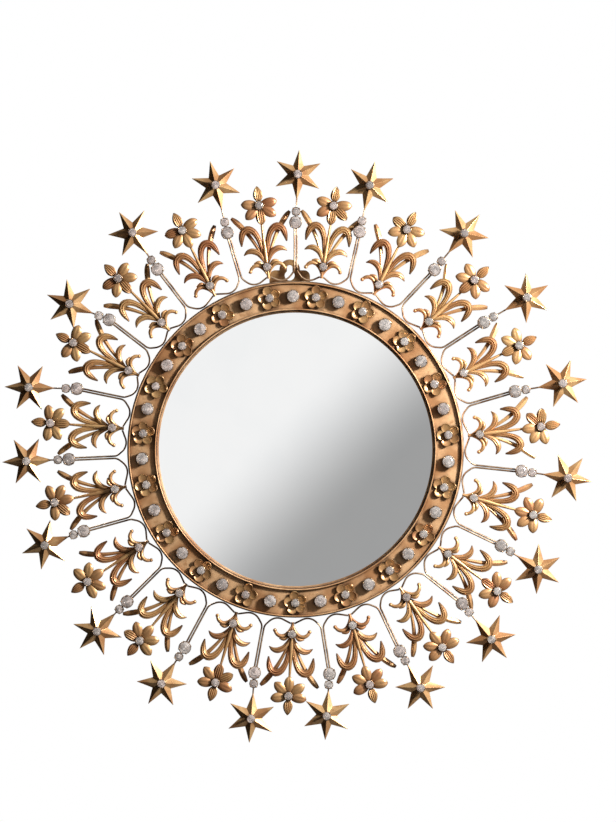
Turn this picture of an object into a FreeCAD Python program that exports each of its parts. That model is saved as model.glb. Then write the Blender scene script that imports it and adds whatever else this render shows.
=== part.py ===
"""Wall-hung convex mirror in a gilt metal sunburst frame.

A domed, silvered glass sits behind a round brass ring: a pierced face with a raised rim along
both edges, and a rolled wall soldered behind it. A wire hoop is soldered round that wall, and
carries bent-wire rays that end in faceted stars. Between the rays stand leaf sprays with a
flower. Cut-glass stones in claw settings sit on the rays,
the stars, the flowers, the sprays' feet and the ring. Behind, a flat board holds the glass,
and four turn buttons hold the board.

Sizes are in millimetres. Every piece is built lying on its back on a bench: X to the right,
Y up the mirror, Z from the wall plane towards the viewer. stand_up() then turns it so that
+Z is up and the mirror faces -Y, with the origin in the middle of the ring's back rim.
"""

import FreeCAD
import Part
import math
import os

from FreeCAD import Vector

PARTS_FOLDER = "parts"

# ---- the ring that everything hangs on
ring_radius = 167.0  # outside of the ring's wall
sight_radius = 139.5  # opening that the glass looks through
ring_sheet = 1.2  # sheet brass of the ring
face_height = 25.2  # front of the ring's face above the wall plane
lip_height = 3.4  # both rims stand this far above the face
lip_round = 0.5  # rounding of the rims' edges

# ---- the domed glass and what holds it
glass_lap = 6.5  # the glass is this much larger than the opening, all round
glass_sheet = 3.0
dome_radius = 520.0  # radius of the glass's front sphere
packing_sheet = 0.8  # packing ring at its thinnest
packing_inset = 1.5  # packing ring stands back from the opening
board_lap = 9.0  # the board is this much larger than the glass, all round
board_sheet = 4.0
touch = 0.1  # gap between pieces that lie against each other
solder = 0.15  # gap that solder fills between round pieces

# ---- turn buttons behind the board
button_count = 4
button_first_angle = 45.0
button_inset = 5.6  # pivot to the inside of the ring's wall
button_length = 11.5  # pivot to the centre of the rounded end
button_half_width = 3.6
button_sheet = 1.5
screw_radius = 1.6
running_gap = 0.05  # between a screw and the button that turns on it
screw_head_radius = 3.1
screw_head_height = 1.7
screw_slot_width = 0.8
screw_slot_depth = 0.8
lug_width = 13.0
lug_depth = 5.0  # along the screw
lug_reach = 8.6  # from the ring's wall towards the middle

# ---- hanger
hanger_offset = -6.0  # the hanger sits left of the middle, as on the real mirror
hanger_sheet = 1.6
hanger_back = 1.0  # the plate stands off the wall plane by this
hanger_half_width = 20.5
hanger_shoulder = 13.5  # straight sides, above the ring's wall
hanger_corner = 6.0
crown_radius = 10.4  # round head of the plate, above the keyhole
crown_rise = 14.0  # centre of that head above the ring's wall
foot_width = 9.5  # folded foot of the hanger, across the ring's wall
keyhole_radius = 5.0
keyhole_rise = 8.2  # centre of the round hole above the ring's wall
keyslot_half_width = 2.8
keyslot_length = 7.8  # from the round hole's centre to the slot's rounded end
rivet_radius = 1.5
rivet_head_radius = 3.0
rivet_head_height = 1.3
rivet_tail_length = 1.2
rivet_tail_spread = 0.8  # the tail is hammered out by this much
rivet_spread = 14.0  # each rivet from the hanger's middle, along the ring

# ---- hoop and rays
hoop_wire = 1.0  # radius of the hoop's wire
ray_wire = 0.9  # radius of the rays' wire
tang_wire = 0.8  # radius of the wire between a ray's legs and its star
ray_plane = 14.0  # height of the wires above the wall plane
ray_pair_gap = 0.5  # between the two legs of a ray
foot_span = 10.6  # from a ray to where its feet meet the hoop
foot_bend = 8.5  # radius where a leg turns out into its foot
touch_bend = 12.0  # radius where a foot meets the hoop
neck_reach = 21.0  # the two legs come together this far out from the ring's wall
legs_reach = 60.5  # the legs end this far out from the ring's wall, under the large stone
wire_end_gap = 1.8  # from a spray's middle to the end of each wire under its foot
hairpin_share = 0.95  # of half the legs' spacing, for the bends at the end of the legs
rounding_passes = 4  # steps that settle a foot's rounding on the hoop

# Each ray was bent and soldered by hand. Per ray, clockwise from the top: its place round the
# ring, the lean of its legs and the further lean of its star, in degrees round the mirror's
# middle, and the distance of its star from the ring's wall.
rays_by_hand = [
    (0.0, 0.0, 0.5, 108.5),
    (17.2, -0.8, -0.7, 107.5),
    (36.5, 1.2, 0.3, 107.5),
    (55.8, 0.2, 0.7, 110.0),
    (75.5, -0.3, 0.9, 108.5),
    (95.4, 0.1, 0.5, 107.0),
    (115.0, 0.1, 1.2, 104.0),
    (133.7, -0.9, 1.3, 106.0),
    (152.3, 0.4, -0.4, 102.5),
    (171.5, -0.1, 1.9, 101.5),
    (190.4, 0.0, -1.0, 106.0),
    (209.4, -0.2, 0.6, 103.0),
    (228.5, -0.6, -0.4, 102.5),
    (247.7, 1.2, 0.2, 101.5),
    (267.5, 0.0, 0.0, 102.5),
    (286.3, -0.8, -2.4, 107.0),
    (304.2, 0.6, -2.0, 102.0),
    (322.5, 0.0, 0.6, 104.5),
    (342.2, 0.3, 0.7, 109.5),
]
# Lean of each spray, in degrees about its own foot, starting right of the top ray.
spray_leans = [
    *(1.0, 0.0, 1.4, -2.0, -2.6, 0.7, 2.4, 1.5, 2.0, 2.4),
    *(-3.2, 0.7, -1.8, 0.0, -2.6, 1.4, 2.0, 1.0, 1.4),
]

# ---- stars
star_radius = 25.5
star_valley_radius = 10.6
star_height = 7.0  # of its peak, before the peak is cut flat
star_rim = 0.8  # height of the star's edge
star_sheet = 1.0
star_points = 6
star_flat = 6.2  # height of the flat for the stone's setting
tang_lap = 4.5  # the tang runs this far under the star's inner arm

# ---- cut-glass stones and their claw settings
large_stone = 5.9  # girdle radius
small_stone = 4.0
stone_facets = 8
table_share = 0.58  # of the girdle radius
crown_share = 0.36
girdle_share = 0.10
pavilion_share = 0.80
facet_flare = 1.03  # the facets would meet this far out, before the girdle rounds them off
setting_wall = 0.45
setting_floor = 0.5
setting_foot_share = 0.55
claw_count = 4
claw_wire = 0.5  # radius of a claw
claw_tip = 0.62  # radius of the bead at its end
claw_hold = 0.25  # how far up the stone's crown the bead holds
stone_play = 0.08  # between a stone and its setting
stud_radius = 1.0  # rivet under a setting on the ring
stud_play = 0.06
stud_tail = 1.6  # length of the stud behind the sheet

# ---- ornaments on the ring
ornament_twist = -0.9  # degrees that the ornaments stand off the rays and sprays
petal_count = 5
petal_radius = 4.5
petal_tilt = 20.0
petal_sheet = 0.8
hub_radius = 4.6
petal_root = 3.4  # where a petal's inner edge meets the hub
ring_flower_turn = 31.0  # each ring flower is turned on by this many degrees

# ---- leaf sprays: (across, along, height of its back, width) down the middle of each leaf.
# These stand on the right of the stem, and the left ones mirror them.
spray_foot = 8.0  # the stem starts this far out from the ring's wall
stem_depth = 2.6
stem_outline = [  # half width, along
    (1.5, -1.6),
    (1.8, 10.0),
    (1.7, 24.0),
    (1.3, 40.0),
    (0.9, 56.0),
    (0.9, 72.0),
]
leaf_sheet = 1.0
crown_of_width = 0.22  # crown of a leaf, as a share of its width
side_leaf = [
    (0.9, 13.0, 1.3, 1.2),
    (3.6, 19.5, 1.3, 3.0),
    (7.2, 25.0, 1.2, 4.8),
    (12.5, 27.9, 1.2, 6.0),
    (17.6, 27.3, 0.8, 4.6),
    (21.6, 24.6, 0.2, 1.0),
]
long_blade = [
    (0.8, 12.0, 0.1, 1.2),
    (4.4, 23.0, 0.0, 1.9),
    (9.2, 34.0, -0.4, 2.3),
    (15.0, 44.5, -1.0, 3.6),
    (21.0, 53.0, -2.3, 5.4),
    (26.4, 59.4, -3.4, 5.2),
    (30.6, 63.8, -4.2, 1.8),
]
arched_leaf = [
    (0.7, 24.0, 0.4, 1.2),
    (2.4, 31.0, 0.6, 3.0),
    (4.6, 38.5, 1.8, 4.6),
    (8.6, 46.8, 3.2, 6.0),
    (14.0, 50.4, 3.6, 6.2),
    (18.8, 47.6, 3.0, 5.6),
    (21.2, 41.0, 1.8, 4.6),
    (22.0, 33.6, 0.6, 1.6),
]

# ---- sprig in front of each spray's foot
sprig_depth = 1.6
sprig_outline = [(1.2, -1.0), (1.8, 5.0), (2.6, 12.6)]  # half width, along
outer_curl = [
    (0.8, 2.0, 0.2, 0.9),
    (3.2, 7.5, 0.4, 2.6),
    (7.2, 11.7, 1.0, 3.6),
    (11.6, 12.6, 1.6, 3.8),
    (15.0, 10.2, 1.4, 3.6),
    (16.4, 6.6, 0.8, 2.6),
]
inner_curl = [(1.0, 7.6, 0.1, 1.0), (3.6, 12.2, 0.3, 2.4), (7.6, 15.2, 1.4, 3.4), (12.0, 14.6, 1.2, 1.4)]
sprig_stone_along = 10.0

# ---- flower at the tip of each spray, and the ribbed bud leaf on it
flower_along = 72.0
flower_petals = [(180.0, 19.6), (128.0, 19.4), (78.0, 18.4), (-78.0, 18.4), (-128.0, 19.4)]  # turn, length
flower_petal_width = 9.2
flower_petal = [  # share of the length, share of the width, lift
    (0.20, 0.30, 0.0),
    (0.32, 0.74, 0.3),
    (0.52, 1.00, 0.8),
    (0.75, 0.86, 1.0),
    (0.92, 0.50, 0.7),
    (1.00, 0.12, 0.4),
]
flower_disc_radius = 5.6
bud = [  # like the leaves above, from the flower's middle
    (0.0, 4.5, 0.0, 4.0),
    (0.0, 6.4, 0.3, 7.4),
    (0.0, 9.6, 0.7, 9.6),
    (0.0, 13.2, 0.9, 8.8),
    (0.0, 16.8, 0.7, 5.4),
    (0.0, 19.5, 0.3, 1.0),
]

ROUND = 360.0
UP = Vector(0, 0, 1)
MIDDLE = Vector(0, 0, 0)

# ---- what follows from the sizes above
wall_inside = ring_radius - ring_sheet
face_back = face_height - ring_sheet
lip_top = face_height + lip_height
glass_radius = sight_radius + glass_lap
board_radius = glass_radius + board_lap
button_pivot = wall_inside - button_inset
hoop_radius = ring_radius + solder + hoop_wire
wire_top = ray_plane + ray_wire
soldered = wire_top + solder  # height of what is soldered on the wires
sprig_seat = soldered + stem_depth + solder
flower_seat = soldered + stem_depth + solder
on_flower = flower_seat + leaf_sheet + touch
rivet_height = hanger_back + (foot_width + hanger_sheet) / 2
ray_count = len(rays_by_hand)


# ---------------------------------------------------------------- helpers
def polar(radius, clockwise, height=0.0):
    """Point at an angle clockwise from straight up, in bench coordinates."""
    turn = math.radians(clockwise)
    return Vector(radius * math.sin(turn), radius * math.cos(turn), height)


def around(count):
    return [i * ROUND / count for i in range(count)]


def turned(shape, clockwise):
    """Copy of a shape, turned clockwise about the middle of the bench."""
    copy = shape.copy()
    copy.rotate(MIDDLE, UP, -clockwise)
    return copy


def moved(shape, offset):
    copy = shape.copy()
    copy.translate(offset)
    return copy


def stand_up(shape):
    """From the bench to the wall: the front turns from +Z to -Y."""
    copy = shape.copy()
    copy.rotate(MIDDLE, Vector(1, 0, 0), 90)
    return copy


def line(start, end):
    return Part.LineSegment(start, end).toShape()


def revolved(edges):
    """Solid of revolution about the mirror's axis from edges in the XZ plane."""
    face = Part.Face(Part.Wire(Part.__sortEdges__(edges)))
    return face.revolve(MIDDLE, UP, ROUND)


def turned_profile(profile):
    """Solid of revolution about the mirror's axis from (radius, height) corners."""
    corners = [Vector(radius, 0, height) for radius, height in profile]
    face = Part.Face(Part.makePolygon(corners + corners[:1]))
    return face.revolve(MIDDLE, UP, ROUND)


def upright_bar(place, radius, low, high):
    return Part.makeCylinder(radius, high - low, Vector(place.x, place.y, low))


def radial_bar(clockwise, radius, inner, outer):
    """Round bar through the ring's wall at the rivets' height."""
    direction = polar(1.0, clockwise)
    return Part.makeCylinder(radius, outer - inner, direction * inner + UP * rivet_height, direction)


def polyhedron(points, faces):
    sides = [Part.Face(Part.makePolygon([points[i] for i in face + face[:1]])) for face in faces]
    solid = Part.makeSolid(Part.makeShell(sides))
    if solid.Volume < 0:
        solid.reverse()
    return solid


def joined(pieces):
    """One solid from pieces that run into each other."""
    body = pieces[0]
    for piece in pieces[1:]:
        body = body.fuse(piece)
    body = body.removeSplitter()
    assert len(body.Solids) == 1, "a piece fell apart"
    return body.Solids[0]


def half_angle(before, corner, after):
    return (before - corner).getAngle(after - corner) / 2


def rounding_middle(before, corner, after, radius):
    """Centre of the arc that rounds a corner."""
    inward = (before - corner).normalize() + (after - corner).normalize()
    return corner + inward.normalize() * (radius / math.sin(half_angle(before, corner, after)))


def bent_path(points, radii):
    """Wire through points, with each inner corner rounded by its radius."""
    edges = []
    start = points[0]
    for before, corner, after, radius in zip(points, points[1:], points[2:], radii):
        back = (before - corner).normalize()
        on = (after - corner).normalize()
        reach = radius / math.tan(half_angle(before, corner, after))
        arc_start = corner + back * reach
        arc_end = corner + on * reach
        middle = rounding_middle(before, corner, after, radius)
        arc_middle = middle + (corner - middle).normalize() * radius
        edges.append(line(start, arc_start))
        edges.append(Part.Arc(arc_start, arc_middle, arc_end).toShape())
        start = arc_end
    edges.append(line(start, points[-1]))
    return Part.Wire(edges)


def wire_along(path, radius):
    """Round wire swept along a path."""
    first = path.Edges[0]
    at = first.FirstParameter
    section = Part.Wire(Part.makeCircle(radius, first.valueAt(at), first.tangentAt(at)))
    return path.makePipeShell([section], True, False)


def strip_section(back, across, width):
    """Crescent across a leaf, crowned towards the viewer."""
    side = across * (width / 2)
    sheet = UP * leaf_sheet
    crown = UP * (width * crown_of_width)
    left, right = back - side, back + side
    edges = [
        Part.Arc(left + sheet, back + sheet + crown, right + sheet).toShape(),
        line(right + sheet, right),
        Part.Arc(right, back + crown, left).toShape(),
        line(left, left + sheet),
    ]
    return Part.Wire(edges)


def leaf_strip(stations):
    """Leaf lofted along its (across, along, height of its back, width) stations."""
    backs = [Vector(x, y, z) for x, y, z, _ in stations]
    sections = []
    for i, (_, _, _, width) in enumerate(stations):
        along = backs[min(i + 1, len(backs) - 1)] - backs[max(i - 1, 0)]
        across = Vector(along.y, -along.x, 0).normalize()
        sections.append(strip_section(backs[i], across, width))
    return Part.makeLoft(sections, True, False)


def both_sides(stations):
    return [leaf_strip(stations), leaf_strip([(-x, y, z, width) for x, y, z, width in stations])]


# ---------------------------------------------------------------- places round the mirror
def ray_angles():
    return [ray[0] for ray in rays_by_hand]


def spray_angles():
    """Each spray stands midway between two rays, starting right of the top ray."""
    angles = ray_angles()
    following = angles[1:] + [angles[0] + ROUND]
    return [(here + there) / 2 for here, there in zip(angles, following)]


def on_spray(shape, index):
    """From a spray's own bench, with its foot at the middle, to its place on the mirror."""
    leaning = turned(shape, spray_leans[index])
    return turned(moved(leaning, Vector(0, ring_radius + spray_foot, 0)), spray_angles()[index])


def legs_end(index):
    """Where a ray's legs end, under its large stone."""
    angle, lean, _, _ = rays_by_hand[index]
    return polar(ring_radius + legs_reach, angle + lean, ray_plane)


def star_middle(index):
    angle, lean, star_lean, reach = rays_by_hand[index]
    return polar(ring_radius + reach, angle + lean + star_lean, ray_plane)


def tang_direction(index):
    return (star_middle(index) - legs_end(index)).normalize()


def tang_turn(index):
    """How far a ray's tang and star are turned clockwise from straight up."""
    outward = tang_direction(index)
    return math.degrees(math.atan2(outward.x, outward.y))


def ornament_places(angles):
    """Places on the middle of the ring's face."""
    radius = (sight_radius + ring_radius) / 2
    return [polar(radius, angle + ornament_twist) for angle in angles]


# ---------------------------------------------------------------- glass and what holds it
def dome_height(radius, offset=0.0):
    """Height of the glass's front sphere, or of one offset from it, at a radius."""
    seat_radius = sight_radius + packing_inset
    centre = face_back - touch - packing_sheet - touch - math.sqrt(dome_radius**2 - seat_radius**2)
    return centre + math.sqrt((dome_radius + offset) ** 2 - radius**2)


def dome_point(radius, offset=0.0):
    return Vector(radius, 0, dome_height(radius, offset))


def dome_arc(inner, outer, offset):
    """Arc of a sphere from one radius to another, in the XZ plane."""
    middle = dome_point((inner + outer) / 2, offset)
    return Part.Arc(dome_point(inner, offset), middle, dome_point(outer, offset)).toShape()


def mirror_glass():
    edges = [
        dome_arc(0, glass_radius, 0),
        line(dome_point(glass_radius), dome_point(glass_radius, -glass_sheet)),
        dome_arc(0, glass_radius, -glass_sheet),
        line(dome_point(0, -glass_sheet), dome_point(0)),
    ]
    return revolved(edges)


def packing_ring():
    """Flat in front, where it meets the ring's face, and domed behind like the glass."""
    inner = sight_radius + packing_inset
    top = face_back - touch
    front = [Vector(inner, 0, top), Vector(glass_radius, 0, top)]
    edges = [
        dome_arc(inner, glass_radius, touch),
        line(dome_point(glass_radius, touch), front[1]),
        line(front[1], front[0]),
        line(front[0], dome_point(inner, touch)),
    ]
    return revolved(edges)


def board_front():
    return dome_height(glass_radius, -glass_sheet) - touch


def board_back():
    return board_front() - board_sheet


def backing_board():
    return Part.makeCylinder(board_radius, board_sheet, Vector(0, 0, board_back()))


# ---------------------------------------------------------------- ring and hoop
def frame_ring():
    """Pierced face with a raised rim along both edges."""
    profile = [
        (ring_radius, face_back),
        (ring_radius, lip_top),
        (wall_inside, lip_top),
        (wall_inside, face_height),
        (sight_radius + ring_sheet, face_height),
        (sight_radius + ring_sheet, lip_top),
        (sight_radius, lip_top),
        (sight_radius, face_back),
    ]
    ring = turned_profile(profile)
    rims = [edge for edge in ring.Edges if edge.BoundBox.ZMin > lip_top - lip_round]
    ring = ring.makeFillet(lip_round, rims)
    holes = [
        upright_bar(place, stud_radius + stud_play, face_back - touch, face_height + touch)
        for place in ornament_places(ray_angles() + spray_angles())
    ]
    return ring.cut(Part.makeCompound(holes))


def ring_wall():
    """Rolled band soldered behind the face's outer rim, bored for the hanger's rivets."""
    top = face_back - solder
    band = turned_profile([(ring_radius, 0), (ring_radius, top), (wall_inside, top), (wall_inside, 0)])
    bore = rivet_radius + stud_play
    inside, outside = wall_inside - ring_sheet, ring_radius + ring_sheet
    holes = [radial_bar(angle, bore, inside, outside) for angle in rivet_angles()]
    return band.cut(Part.makeCompound(holes))


def support_hoop():
    return Part.makeTorus(hoop_radius, hoop_wire, Vector(0, 0, ray_plane))


# ---------------------------------------------------------------- turn buttons
def button_angles():
    return [button_first_angle + angle for angle in around(button_count)]


def button_back():
    return board_back() - touch - button_sheet


def turn_button():
    """At the top of the mirror, pointing to its middle."""
    pivot = Vector(0, button_pivot, button_back())
    end = pivot - Vector(0, button_length, 0)
    corner = end - Vector(button_half_width, 0, 0)
    pieces = [Part.makeBox(2 * button_half_width, button_length, button_sheet, corner)]
    pieces += [Part.makeCylinder(button_half_width, button_sheet, place) for place in (pivot, end)]
    hole = upright_bar(pivot, screw_radius + running_gap, 0, face_height)
    return joined(pieces).cut(hole)


def button_screw():
    pivot = Vector(0, button_pivot, 0)
    head_front = button_back() - touch
    head_back = head_front - screw_head_height
    head = upright_bar(pivot, screw_head_radius, head_back, head_front)
    rim = [edge for edge in head.Edges if edge.BoundBox.ZMax < head_back + touch]
    head = head.makeFillet(screw_head_height / 2, rim)
    shank = upright_bar(pivot, screw_radius, head_front - touch, board_back() + lug_depth)
    slot_corner = Vector(-screw_head_radius, button_pivot - screw_slot_width / 2, head_back)
    slot = Part.makeBox(2 * screw_head_radius, screw_slot_width, screw_slot_depth, slot_corner)
    return joined([head, shank]).cut(slot)


def fixing_lug():
    """Block soldered inside the ring's wall, flush with the board's back."""
    corner = Vector(-lug_width / 2, wall_inside - lug_reach, board_back())
    block = Part.makeBox(lug_width, lug_reach, lug_depth, corner)
    within = Part.makeCylinder(wall_inside - solder, lug_depth, Vector(0, 0, board_back()))
    hole = upright_bar(Vector(0, button_pivot, 0), screw_radius + running_gap, 0, face_height)
    return block.common(within).cut(hole)


# ---------------------------------------------------------------- hanger
def rivet_angles():
    middle = math.degrees(math.asin(hanger_offset / ring_radius))
    step = math.degrees(rivet_spread / ring_radius)
    return [middle - step, middle + step]


def hanger_plate():
    """Keyhole plate behind the rays, with a foot folded forward along the ring's wall."""
    inside = ring_radius + touch
    left = hanger_offset - hanger_half_width
    width, length = 2 * hanger_half_width, hanger_shoulder + ring_radius
    blank = Part.makeBox(width, length, hanger_sheet, Vector(left, 0, hanger_back))
    shoulders = [
        edge
        for edge in blank.Edges
        if edge.BoundBox.YMin > length - touch and edge.BoundBox.XLength < touch
    ]
    blank = blank.makeFillet(hanger_corner, shoulders)
    crown_middle = Vector(hanger_offset, ring_radius + crown_rise, 0)
    crown = upright_bar(crown_middle, crown_radius, hanger_back, hanger_back + hanger_sheet)
    foot = Part.makeCylinder(inside + hanger_sheet, foot_width, Vector(0, 0, hanger_back))
    foot = foot.common(Part.makeBox(width, length, foot_width, Vector(left, 0, hanger_back)))
    body = joined([blank, crown, foot])
    keyhole = Vector(hanger_offset, ring_radius + keyhole_rise, 0)
    slot_corner = keyhole - Vector(keyslot_half_width, 0, 0)
    cuts = [
        Part.makeCylinder(inside, face_height),
        upright_bar(keyhole, keyhole_radius, 0, face_height),
        upright_bar(keyhole + Vector(0, keyslot_length, 0), keyslot_half_width, 0, face_height),
        Part.makeBox(2 * keyslot_half_width, keyslot_length, face_height, slot_corner),
    ]
    for angle in rivet_angles():
        cuts.append(radial_bar(angle, rivet_radius + stud_play, inside - touch, inside + 2 * hanger_sheet))
    for cut in cuts:
        body = body.cut(cut)
    return body


def hanger_rivet(clockwise):
    """Domed head outside the hanger's foot, hammered tail inside the ring's wall."""
    outside = ring_radius + touch + hanger_sheet + touch
    tail_top = wall_inside - solder
    tail_end = tail_top - rivet_tail_length
    shank = radial_bar(clockwise, rivet_radius, tail_end, outside + touch)
    tail = radial_bar(clockwise, rivet_radius + rivet_tail_spread, tail_end, tail_top)
    ball_radius = (rivet_head_radius**2 + rivet_head_height**2) / (2 * rivet_head_height)
    ball_middle = polar(outside + rivet_head_height - ball_radius, clockwise, rivet_height)
    head = Part.makeSphere(ball_radius, ball_middle)
    head = head.common(radial_bar(clockwise, rivet_head_radius, outside, outside + ball_radius))
    return joined([shank, tail, head])


# ---------------------------------------------------------------- rays and stars
def touch_corner(spray_end, root, turn):
    """Corner of a foot's path whose rounding just reaches the hoop."""
    touch_radius = hoop_radius + hoop_wire + solder + ray_wire
    radius = touch_radius
    for _ in range(rounding_passes):
        middle = rounding_middle(spray_end, polar(radius, turn, ray_plane), root, touch_bend)
        radius += touch_radius - (math.hypot(middle.x, middle.y) - touch_bend)
    return polar(radius, turn, ray_plane)


def ray_wire_piece(index):
    """One wire bent double: from a spray's foot to the hoop, up the ray, back down, and on."""
    angle = ray_angles()[index]
    foot_radius = ring_radius + spray_foot
    end_turn = math.degrees(wire_end_gap / foot_radius)
    touch_turn = math.degrees(foot_span / hoop_radius)
    pair = ray_wire + ray_pair_gap / 2
    neck = polar(ring_radius + neck_reach, angle, ray_plane)
    outward = (legs_end(index) - neck).normalize()
    right = Vector(outward.y, -outward.x, 0)
    last_spray = spray_angles()[index - 1] - (ROUND if index == 0 else 0)
    legs = []
    for side, spray_angle in ((-1, last_spray), (1, spray_angles()[index])):
        spray_end = polar(foot_radius, spray_angle - side * end_turn, ray_plane)
        root = neck - outward * foot_bend + right * (side * pair)
        corner = touch_corner(spray_end, root, angle + side * touch_turn)
        legs.append([spray_end, corner, root, legs_end(index) + right * (side * pair)])
    hairpin = pair * hairpin_share
    radii = [touch_bend, foot_bend, hairpin, hairpin, foot_bend, touch_bend]
    return wire_along(bent_path(legs[0] + legs[1][::-1], radii), ray_wire)


def star_tang(index):
    """Wire from the end of the legs to the back of the star."""
    along = tang_direction(index)
    start = legs_end(index) + along * (ray_wire + solder)
    end = star_middle(index) - along * (star_radius - tang_lap)
    return Part.makeCylinder(tang_wire, (end - start).Length, start, along)


def star_block(drop):
    """Solid faceted star whose front lies lower by drop."""
    count = 2 * star_points
    radii = [star_radius, star_valley_radius] * star_points
    edge = [polar(radius, turn, star_rim - drop) for radius, turn in zip(radii, around(count))]
    bottom = [polar(radius, turn, -star_height) for radius, turn in zip(radii, around(count))]
    points = edge + bottom + [Vector(0, 0, star_height - drop)]
    faces = [list(range(count, 2 * count))]
    for i in range(count):
        j = (i + 1) % count
        faces.append([i, j, count + j, count + i])
        faces.append([i, j, 2 * count])
    return polyhedron(points, faces)


def star():
    """Faceted star of sheet metal, hollow behind, with a flat at its peak for the setting."""

    def above(low, high):
        corner = Vector(-star_radius, -star_radius, low)
        return Part.makeBox(2 * star_radius, 2 * star_radius, high - low, corner)

    outside = star_block(0.0).common(above(0.0, star_flat))
    hollow = star_block(star_sheet).common(above(-star_height, star_flat - star_sheet))
    return outside.cut(hollow).Solids[0]


def on_ray(shape, index):
    return moved(turned(shape, tang_turn(index)), star_middle(index) + UP * (ray_wire + solder))


# ---------------------------------------------------------------- stones and settings
def girdle_height(size):
    """Height of a girdle's lower edge above its setting's foot."""
    return setting_floor + stone_play + pavilion_share * size


def cup_radius(size):
    return size + stone_play + setting_wall


def stone(size):
    """Brilliant-cut stone, standing as it does in its setting."""
    low = girdle_height(size)
    high = low + girdle_share * size
    table = high + crown_share * size
    to_corner = size / math.cos(math.pi / stone_facets)
    rings = [(table_share, table), (facet_flare, high), (facet_flare, low)]
    points = []
    for share, height in rings:
        turns = [turn + ROUND / stone_facets / 2 for turn in around(stone_facets)]
        points += [polar(share * to_corner, turn, height) for turn in turns]
    culet = len(points)
    points.append(Vector(0, 0, low - pavilion_share * size))
    faces = [list(range(stone_facets))]
    for i in range(stone_facets):
        j = (i + 1) % stone_facets
        for upper in (0, stone_facets):
            lower = upper + stone_facets
            faces.append([upper + i, lower + i, lower + j, upper + j])
        faces.append([2 * stone_facets + i, culet, 2 * stone_facets + j])
    return polyhedron(points, faces).common(Part.makeCylinder(size, table)).Solids[0]


def setting(size, stud_length):
    """Claw cup for a stone. Where it goes through sheet metal it has a stud below."""
    seat = girdle_height(size)
    high = seat + girdle_share * size
    inner = size + stone_play
    slope = pavilion_share / facet_flare * math.cos(math.pi / stone_facets)
    cup = [
        (0, 0),
        (setting_foot_share * size, 0),
        (cup_radius(size), seat - slope * size / 2),
        (cup_radius(size), high),
        (inner, high),
        (inner, setting_floor + slope * inner),
        (0, setting_floor),
    ]
    pieces = [turned_profile(cup)]
    facet = Vector((facet_flare - table_share) * size, crown_share * size, 0)
    off = (claw_tip + stone_play) / facet.Length
    bead_radius = facet_flare * size - claw_hold * facet.x + facet.y * off
    bead_height = high + claw_hold * facet.y + facet.x * off
    for turn in around(claw_count):
        claw = polar(inner + claw_wire, turn + ROUND / claw_count / 2)
        bead = polar(bead_radius, turn + ROUND / claw_count / 2, bead_height)
        pieces.append(upright_bar(claw, claw_wire, seat - slope * size / 2, bead_height))
        pieces.append(Part.makeSphere(claw_tip, bead))
    if stud_length:
        pieces.append(upright_bar(MIDDLE, stud_radius, -stud_length, setting_floor / 2))
    return joined(pieces)


def stone_places():
    """(size, length of the setting's stud, its foot, its turn) for every stone on the mirror."""
    places = []
    on_face = face_height + touch
    through = ring_sheet + touch + stud_tail
    for angle, place in zip(ray_angles(), ornament_places(ray_angles())):
        places.append((large_stone, through, place + UP * on_face, angle))
    in_flower = petal_sheet + touch
    for angle, place in zip(spray_angles(), ornament_places(spray_angles())):
        places.append((small_stone, through + in_flower, place + UP * (on_face + in_flower), angle))
    stone_step = cup_radius(large_stone) + cup_radius(small_stone) + touch
    for i in range(ray_count):
        end = legs_end(i) + UP * (ray_wire + solder)
        peak = star_middle(i) + UP * (ray_wire + solder + star_flat + touch)
        places.append((large_stone, 0, end, tang_turn(i)))
        places.append((small_stone, 0, end + tang_direction(i) * stone_step, tang_turn(i)))
        places.append((small_stone, 0, peak, tang_turn(i)))
        on_sprig = sprig_seat + sprig_depth + touch
        for along, seat in ((sprig_stone_along, on_sprig), (flower_along, on_flower)):
            foot = on_spray(Part.Vertex(Vector(0, along, seat)), i).Point
            places.append((small_stone, 0, foot, spray_angles()[i] + spray_leans[i]))
    return places


# ---------------------------------------------------------------- sprays and flowers
def tapered_bar(outline, depth):
    """Flat bar from (half width, along) corners."""
    right = [Vector(half, along, 0) for half, along in outline]
    left = [Vector(-half, along, 0) for half, along in reversed(outline)]
    return Part.Face(Part.makePolygon(right + left + right[:1])).extrude(UP * depth)


def spray():
    """Stem with side leaves, long blades and arched leaves, its foot at the middle."""
    leaves = both_sides(side_leaf) + both_sides(long_blade) + both_sides(arched_leaf)
    return moved(joined([tapered_bar(stem_outline, stem_depth)] + leaves), UP * soldered)


def sprig():
    curls = both_sides(outer_curl) + both_sides(inner_curl)
    return moved(joined([tapered_bar(sprig_outline, sprig_depth)] + curls), UP * sprig_seat)


def flower():
    petals = []
    for turn, length in flower_petals:
        stations = [(0, far * length, lift, wide * flower_petal_width) for far, wide, lift in flower_petal]
        petals.append(turned(leaf_strip(stations), turn))
    disc = Part.makeCylinder(flower_disc_radius, leaf_sheet)
    return moved(joined([disc] + petals), Vector(0, flower_along, flower_seat))


def bud_leaf():
    return moved(leaf_strip(bud), Vector(0, flower_along, on_flower))


def ring_flower():
    """Round petals turned up from a hub that is pierced for the setting's stud."""
    root = Vector(0, petal_root, 0)
    petal = Part.makeCylinder(petal_radius, petal_sheet, root + Vector(0, petal_radius, 0))
    petal.rotate(root, Vector(1, 0, 0), petal_tilt)
    petals = [turned(petal, turn) for turn in around(petal_count)]
    hub = Part.makeCylinder(hub_radius, petal_sheet)
    hole = upright_bar(MIDDLE, stud_radius + stud_play, 0, petal_sheet)
    return joined([hub] + petals).cut(hole)


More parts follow.
